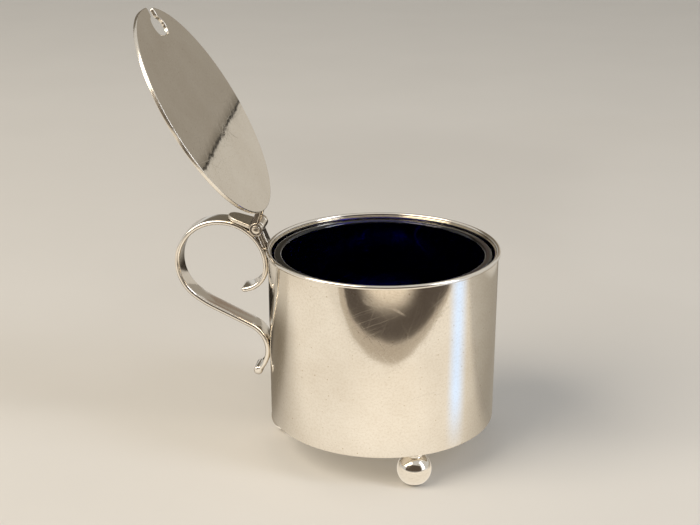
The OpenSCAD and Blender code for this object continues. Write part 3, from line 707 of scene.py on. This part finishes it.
# Floor: a plain pale sheet of painted board, wider than any view. Brushed matt paint is a shade uneven, with
# a fine tooth; it takes the pot's soft shadow and shows pale in the silver.
FLOOR_HALF = 3.0
PAINT_PATCH = 60 * MM
PAINT_TOOTH, PAINT_TOOTH_HEIGHT = 0.8 * MM, 0.01 * MM

floor_mesh = bpy.data.meshes.new("pale_floor")
floor_mesh.from_pydata([(-FLOOR_HALF, -FLOOR_HALF, 0), (FLOOR_HALF, -FLOOR_HALF, 0),
                        (FLOOR_HALF, FLOOR_HALF, 0), (-FLOOR_HALF, FLOOR_HALF, 0)], [], [(0, 1, 2, 3)])
floor_paint = bpy.data.materials.new("matt_pale_board")
floor_paint.use_nodes = True
floor_tree = floor_paint.node_tree
floor_shader = floor_tree.nodes["Principled BSDF"]
floor_place = add(floor_tree, "ShaderNodeTexCoord").outputs["Object"]
shade = add(floor_tree, "ShaderNodeTexNoise", {
    "Vector": floor_place, "Scale": 1 / PAINT_PATCH, "Detail": 3.0})
paint = add(floor_tree, "ShaderNodeMix", {
    0: shade.outputs["Fac"], 6: linear("#D0CDC7"), 7: linear("#D5D2CC")}, data_type="RGBA")
floor_tree.links.new(paint.outputs[2], floor_shader.inputs["Base Color"])
tooth = add(floor_tree, "ShaderNodeTexNoise", {"Vector": floor_place, "Scale": 1 / PAINT_TOOTH})
toothed = add(floor_tree, "ShaderNodeBump", {
    "Height": tooth.outputs["Fac"], "Distance": PAINT_TOOTH_HEIGHT, "Strength": 1.0})
floor_tree.links.new(toothed.outputs["Normal"], floor_shader.inputs["Normal"])
floor_shader.inputs["Roughness"].default_value = 0.7
floor_mesh.materials.append(floor_paint)
floor = bpy.data.objects.new("pale_floor", floor_mesh)
bpy.context.scene.collection.objects.link(floor)


# Studio light: a pale room that shows as it is in the picture, the metal and the glass, and lights the rest
# less, a large warm soft box from the left and a narrow cool one from the right.
ROOM_SEEN, ROOM_LIGHT = 0.85, 0.55
POT_MIDDLE = (0, 0, 0.04)

world = bpy.data.worlds.new("pale_room")
bpy.context.scene.world = world
world.use_nodes = True
room = world.node_tree
path = add(room, "ShaderNodeLightPath")
seen = add(room, "ShaderNodeMath", {0: path.outputs["Is Camera Ray"], 1: path.outputs["Is Glossy Ray"]},
           operation="MAXIMUM")
seen = add(room, "ShaderNodeMath", {0: seen.outputs["Value"], 1: path.outputs["Is Transmission Ray"]},
           operation="MAXIMUM")
level = add(room, "ShaderNodeMapRange", {
    "Value": seen.outputs["Value"], "To Min": ROOM_LIGHT, "To Max": ROOM_SEEN})
room.links.new(level.outputs["Result"], room.nodes["Background"].inputs["Strength"])
room.nodes["Background"].inputs["Color"].default_value = linear("#E4E2DE")


def soft_box(name, place, aim, width, height, watts, colour):
    """A rectangular lamp at a place, turned towards a point."""
    lamp = bpy.data.lights.new(name, "AREA")
    lamp.shape = "RECTANGLE"
    lamp.size, lamp.size_y, lamp.energy, lamp.color = width, height, watts, linear(colour)[:3]
    box = bpy.data.objects.new(name, lamp)
    bpy.context.scene.collection.objects.link(box)
    out = np.array(place) - np.array(aim)
    out /= np.linalg.norm(out)
    box.location = place
    box.rotation_euler = (math.acos(out[2]), 0, math.atan2(out[0], -out[1]))


soft_box("soft_box_left", (-0.70, -0.55, 0.80), POT_MIDDLE, width=0.9, height=0.9, watts=13.0,
         colour="#FFF3E2")
soft_box("soft_box_right", (0.75, -0.25, 0.45), POT_MIDDLE, width=0.25, height=0.8, watts=3.0,
         colour="#EAF1FF")


# Cards: polished silver shows only what stands round it, so dark and bright sheets of card give its shapes
# their edges, bands and shades. Most of them glow with a fixed colour of their own: painted light that stands
# for lit card, though no card is a lamp. Only sheen and glass show them: they are left out of the view, of
# the shadows and of the diffuse light.
def card(name, corners, colour, glow=0.0, soft=None, steps=1):
    """A flat card with its corners given in millimetres. One that glows shines with its own colour as painted
    light, and no lamp lights it. A soft one, which has four corners, fades out over a share of its length and
    a share of its width. A card that tapers is cut across into steps, so that its fade follows its sides."""
    corners = np.array(corners, float) * MM
    faces = [tuple(range(len(corners)))]
    if soft:
        cuts = np.linspace(0, 1, steps + 1)
        near, far = (start + (end - start) * cuts[:, None]
                     for start, end in ((corners[0], corners[1]), (corners[3], corners[2])))
        corners = np.concatenate([near, far])
        first = np.arange(steps)
        faces = np.stack([first, first + 1, first + steps + 2, first + steps + 1], -1).tolist()
    mesh = bpy.data.meshes.new(name)
    mesh.from_pydata(corners.tolist(), [], faces)
    paper = bpy.data.materials.new(name + "_paper")
    paper.use_nodes = True
    tree = paper.node_tree
    paper_shader = tree.nodes["Principled BSDF"]
    # A glowing card is black, and gives off its colour as painted light at a fixed brightness.
    paper_shader.inputs["Base Color"].default_value = linear("#000000" if glow else colour)
    paper_shader.inputs["Emission Color"].default_value = linear(colour)
    paper_shader.inputs["Emission Strength"].default_value = glow
    paper_shader.inputs["Roughness"].default_value = 0.9
    paper_shader.inputs["Specular IOR Level"].default_value = 0.0
    if soft:
        along = np.stack([cuts[:-1], cuts[1:], cuts[1:], cuts[:-1]], -1)
        plan = np.stack([along, np.broadcast_to((0.0, 0.0, 1.0, 1.0), along.shape)], -1)
        mesh.uv_layers.new(name="UVMap").data.foreach_set("uv", plan.ravel())
        place = add(tree, "ShaderNodeSeparateXYZ", {"Vector": add(tree, "ShaderNodeUVMap").outputs["UV"]})
        fades = []
        for axis, share in zip("XY", soft):
            inward = add(tree, "ShaderNodeMath", {0: place.outputs[axis], 1: 0.5}, operation="PINGPONG")
            fade = add(tree, "ShaderNodeMapRange", {
                "Value": inward.outputs["Value"], "From Max": share}, interpolation_type="SMOOTHSTEP")
            fades.append(fade.outputs["Result"])
        whole = add(tree, "ShaderNodeMath", {0: fades[0], 1: fades[1]}, operation="MULTIPLY")
        tree.links.new(whole.outputs["Value"], paper_shader.inputs["Alpha"])
    mesh.materials.append(paper)
    sheet = bpy.data.objects.new(name, mesh)
    bpy.context.scene.collection.objects.link(sheet)
    sheet.visible_camera = sheet.visible_diffuse = sheet.visible_shadow = False


def lying(height, *plan):
    """Corners of a card that lies level at a height, from its corners in plan."""
    return [(x, y, height) for x, y in plan]


def standing(y, left, right, low, high):
    """Corners of an upright card square to the Y axis, from its two sides, its foot and its top."""
    return [(left, y, low), (right, y, low), (right, y, high), (left, y, high)]


FADE_STEPS = 160

# At the pot's front, a pale sheet for its bright wall, and beyond it edges that the drum bends to a U.
card("sheet_front", lying(1, (-190, 15), (190, 15), (190, -125), (-190, -125)), "#FFF6E8",
     glow=0.96, soft=(0.12, 0.12))
card("sheet_near", lying(2, (-50, -28), (78, -28), (88, -118), (-50, -118)), "#FFF6E8",
     glow=1.08, soft=(0.4, 0.35))
card("card_front", lying(3, (-120, -152), (-79, -126), (-50, -117), (-6, -106), (31, -97), (70, -91),
                         (107, -78), (165, -44), (230, -330), (-120, -420)), "#C2B5A3", glow=1.0)
card("card_front_dark", lying(4, (-100, -154), (-57, -128), (-20, -122), (6, -119), (58, -104), (109, -84),
                              (165, -49), (230, -330), (-100, -420)), "#584F47", glow=1.0)
card("card_front_pale", lying(5, (-62, -148), (120, -112), (120, -192), (-62, -228)), "#FFF0DA",
     glow=1.0, soft=(0.35, 0.3))
card("card_room", standing(-600, -900, 900, 0, 650), "#5A5046", glow=1.0, soft=(0.1, 0.1))
# On both sides and behind, for the drum's dark edges and the inside of the handle.
card("card_left", lying(2, (20, -45), (-160, -30), (-120, 150), (20, 100)), "#857B6C",
     glow=1.0, soft=(0.3, 0.35))
card("card_left_dark", lying(3, (-44, 28), (-115, 50), (-95, 140), (-40, 70)), "#2A251F",
     glow=1.0, soft=(0.15, 0.25))
card("card_right", lying(2.5, (21, -22), (292, -51), (-220, 397), (19, -20)), "#A0988B",
     glow=1.0, soft=(0.06, 0.5), steps=FADE_STEPS)
card("card_behind", lying(4, (-110, 60), (60, 60), (110, 400), (-160, 400)), "#3A342D",
     glow=1.0, soft=(0.3, 0.3))
# At the right, for the bright band.
card("strip_right", lying(5, (20, -19), (250, 25), (250, -94), (20, -25)), "#CFE2FF",
     glow=1.45, soft=(0.2, 0.5), steps=FADE_STEPS)
# Upright behind the pot, for the lid, the thumbpiece, the handle and the glass.
card("back_low", standing(400, 30, 220, 0, 115), "#CBC5BB", glow=1.0)
card("back_gap", standing(400, 30, 220, 115, 116.8), "#0E0C0A")
card("back_shade", standing(400.5, 30, 220, 110, 123), "#837C71", glow=1.0, soft=(0.01, 0.5))
card("back_high", standing(401, 30, 220, 115, 240), "#A0998E", glow=1.0)
card("back_left", standing(402, -700, -12, 100, 480), "#6E675B", glow=1.0, soft=(0.01, 0.1))
card("back_mid", standing(404, -30, 90, 145, 330), "#908173", glow=1.0, soft=(0.1, 0.1))


# Camera: near the photograph's own place, a little over the rim and almost square to the handle. It is fitted
# to the outlines of the drum, the lid and the handle together.
CAMERA_PLACE = (32.66 * MM, -333.7 * MM, 167.4 * MM)
CAMERA_DOWN, CAMERA_HEADING = 19.17, -7.06
CAMERA_LENS, SENSOR_WIDTH = 69.84, 36.0
NEAREST_SEEN = 0.01

view = bpy.data.cameras.new("camera")
view.lens, view.sensor_width, view.sensor_fit = CAMERA_LENS, SENSOR_WIDTH, "HORIZONTAL"
view.clip_start = NEAREST_SEEN
camera = bpy.data.objects.new("camera", view)
bpy.context.scene.collection.objects.link(camera)
camera.location = CAMERA_PLACE
camera.rotation_euler = (math.radians(90 - CAMERA_DOWN), 0, math.radians(-CAMERA_HEADING))
bpy.context.scene.camera = camera
bpy.context.scene.view_settings.view_transform = "Standard"
